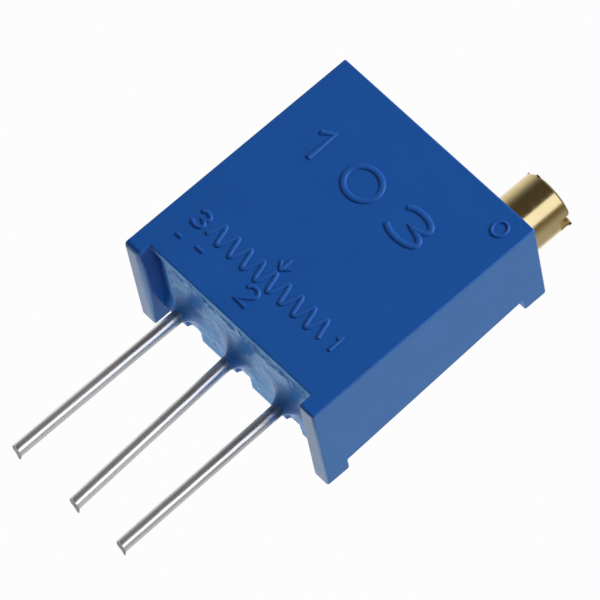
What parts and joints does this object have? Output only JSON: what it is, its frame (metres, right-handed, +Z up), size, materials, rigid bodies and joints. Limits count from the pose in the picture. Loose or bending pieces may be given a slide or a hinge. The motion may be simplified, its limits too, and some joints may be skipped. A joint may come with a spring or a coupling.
{
  "type": "trimmer potentiometer",
  "caption": "Square multi-turn trimmer potentiometer: blue moulded housing, slotted brass adjusting screw on top, in-line round leads below for a circuit board.",
  "frame": {"origin": "on the middle lead, in the plane of the feet, which is the upper face of the circuit board", "axes": "+X along the row of leads towards the adjusting screw, +Y from the front face to the back, +Z up along the adjusting screw"},
  "size_m": [0.0096, 0.0049, 0.0189],
  "materials": {
    "housing_plastic": "moulded thermoplastic, satin",
    "screw_brass": "turned, bright",
    "seal_rubber": "soft black",
    "wheel_nylon": "natural nylon",
    "contact_alloy": "spring alloy, bright",
    "ceramic": "sintered alumina, matt white",
    "resistive_film": "fired cermet film",
    "conductor_film": "fired silver alloy film",
    "tinned_wire": "bright tinned copper",
    "solder": "tin solder",
    "potting_epoxy": "cured blue epoxy, glossy and uneven"
  },
  "bodies": {
    "base": {"housing": "housing_plastic", "substrate": "ceramic", "resistive_track": "resistive_film", "collector_track": "conductor_film", "end_conductor_1": "conductor_film", "end_conductor_3": "conductor_film", "terminal_pin_1": "tinned_wire", "terminal_pin_2": "tinned_wire", "terminal_pin_3": "tinned_wire", "solder_joint_1": "solder", "solder_joint_2": "solder", "solder_joint_3": "solder", "potting": "potting_epoxy"},
    "screw": {"adjusting_screw": "screw_brass", "seal_ring": "seal_rubber"},
    "rotor": {"worm_wheel": "wheel_nylon", "wiper": "contact_alloy"}
  },
  "joints": [
    {"name": "screw_turn", "type": "hinge", "parent": "base", "child": "screw", "pos_m": [0.00349, -0.00092, 0.01], "axis": [0, 0, 1], "range_deg": [-4500, 4500]},
    {"name": "wheel_turn", "type": "hinge", "parent": "base", "child": "rotor", "pos_m": [0, -0.0009, 0.0054], "axis": [0, 1, 0], "range_deg": [-150, 150]}
  ],
  "couplings": [
    {"joint": "wheel_turn", "follows": "screw_turn", "ratio": 0.033333}
  ]
}
